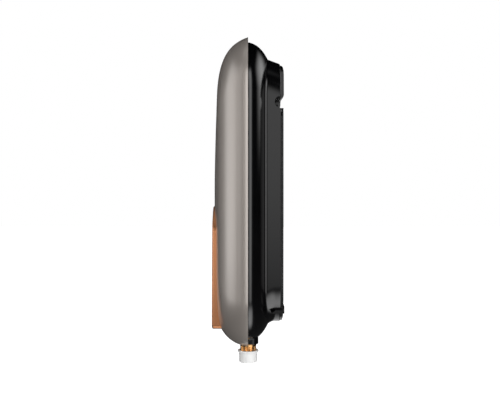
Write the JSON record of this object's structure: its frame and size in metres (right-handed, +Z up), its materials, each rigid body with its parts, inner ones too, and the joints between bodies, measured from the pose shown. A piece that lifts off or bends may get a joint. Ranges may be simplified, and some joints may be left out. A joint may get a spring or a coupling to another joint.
{
  "type": "tankless water heater",
  "caption": "Slim wall-hung electric tankless water heater: pebble-shaped metallic cover, gloss black rear shell, control bezel, capped threaded stubs below, hook-on wall bracket.",
  "frame": {"origin": "centre of the wall bracket's back face, on the wall", "axes": "+Z up, +Y into the wall, -Y towards the user, +X towards the heater's right side, where the cold inlet is"},
  "size_m": [0.228, 0.0937, 0.4183],
  "materials": {
    "champagne_shell": "satin metallic taupe",
    "black_shell": "gloss black",
    "copper_trim": "satin rose-gold plating on plastic",
    "dark_glass": "polished, smoked",
    "bracket_steel": "satin black",
    "pipe_brass": "machined, bright",
    "white_plastic": "soft white",
    "red_plastic": "satin",
    "black_rubber": "matte",
    "black_plastic": "satin",
    "grey_plastic": "satin",
    "blue_plastic": "satin",
    "brown_wire": "satin",
    "green_wire": "green with a yellow stripe",
    "circuit_board": "lacquered",
    "bright_steel": "bright",
    "copper_pipe": "drawn copper",
    "sink_aluminium": "extruded"
  },
  "bodies": {
    "bracket": {"wall_bracket": "bracket_steel"},
    "heater": {"front_cover": "champagne_shell", "rear_shell": "black_shell", "seam_gasket": "black_rubber", "copper_bezel": "copper_trim", "display_glass": "dark_glass", "display_module": "grey_plastic", "display_board": "circuit_board", "cover_screw_1": "bright_steel", "cover_screw_2": "bright_steel", "cover_screw_3": "bright_steel", "cover_screw_4": "bright_steel", "cable_grommet": "black_rubber", "heating_tank": "bright_steel", "lid_seal": "black_rubber", "tank_lid": "bright_steel", "lid_screw_1": "bright_steel", "lid_screw_2": "bright_steel", "lid_screw_3": "bright_steel", "lid_screw_4": "bright_steel", "heating_element_left": "copper_pipe", "heating_element_right": "copper_pipe", "outlet_stub": "pipe_brass", "inlet_stub": "pipe_brass", "pipe_yoke": "bright_steel", "inlet_filter": "white_plastic", "flow_sensor_body": "grey_plastic", "rotor_axle": "bright_steel", "hall_sensor": "black_plastic", "cold_pipe": "copper_pipe", "hot_pipe": "copper_pipe", "thermal_cutout": "black_plastic", "outlet_sensor": "pipe_brass", "board_carrier": "grey_plastic", "power_board": "circuit_board", "power_relay": "blue_plastic", "heat_sink": "sink_aluminium", "triac": "black_plastic", "filter_capacitor": "blue_plastic", "terminal_block": "white_plastic", "earth_stud": "pipe_brass", "live_lead": "brown_wire", "neutral_lead": "blue_plastic", "earth_lead": "green_wire", "sensor_lead": "black_plastic", "display_ribbon": "grey_plastic", "yoke_screw_1": "bright_steel", "yoke_screw_2": "bright_steel", "display_screw_1": "bright_steel", "display_screw_2": "bright_steel", "display_screw_3": "bright_steel", "display_screw_4": "bright_steel"},
    "minus_button": {"minus_key": "copper_trim"},
    "power_button": {"power_key": "copper_trim"},
    "plus_button": {"plus_key": "copper_trim"},
    "inlet_transport_cap": {"inlet_cap": "white_plastic"},
    "outlet_transport_cap": {"outlet_cap": "white_plastic"},
    "flow_turbine": {"flow_rotor": "blue_plastic"},
    "cutout_reset": {"reset_button": "red_plastic"}
  },
  "joints": [
    {"name": "lift_off", "type": "slide", "parent": "bracket", "child": "heater", "axis": [0, 0, 1], "range_m": [0, 0.012]},
    {"name": "minus_press", "type": "slide", "parent": "heater", "child": "minus_button", "axis": [0, 1, 0], "range_m": [0, 0.0008], "stiffness_N_per_m": 2500},
    {"name": "power_press", "type": "slide", "parent": "heater", "child": "power_button", "axis": [0, 1, 0], "range_m": [0, 0.0008], "stiffness_N_per_m": 2500},
    {"name": "plus_press", "type": "slide", "parent": "heater", "child": "plus_button", "axis": [0, 1, 0], "range_m": [0, 0.0008], "stiffness_N_per_m": 2500},
    {"name": "inlet_cap_pull", "type": "slide", "parent": "heater", "child": "inlet_transport_cap", "axis": [0, 0, -1], "range_m": [0, 0.02]},
    {"name": "outlet_cap_pull", "type": "slide", "parent": "heater", "child": "outlet_transport_cap", "axis": [0, 0, -1], "range_m": [0, 0.02]},
    {"name": "turbine_spin", "type": "hinge", "parent": "heater", "child": "flow_turbine", "pos_m": [0.05, -0.046, -0.1247], "axis": [0, 0, 1], "continuous": true},
    {"name": "reset_press", "type": "slide", "parent": "heater", "child": "cutout_reset", "axis": [0, 0, -1], "range_m": [0, 0.0015], "stiffness_N_per_m": 3000}
  ]
}
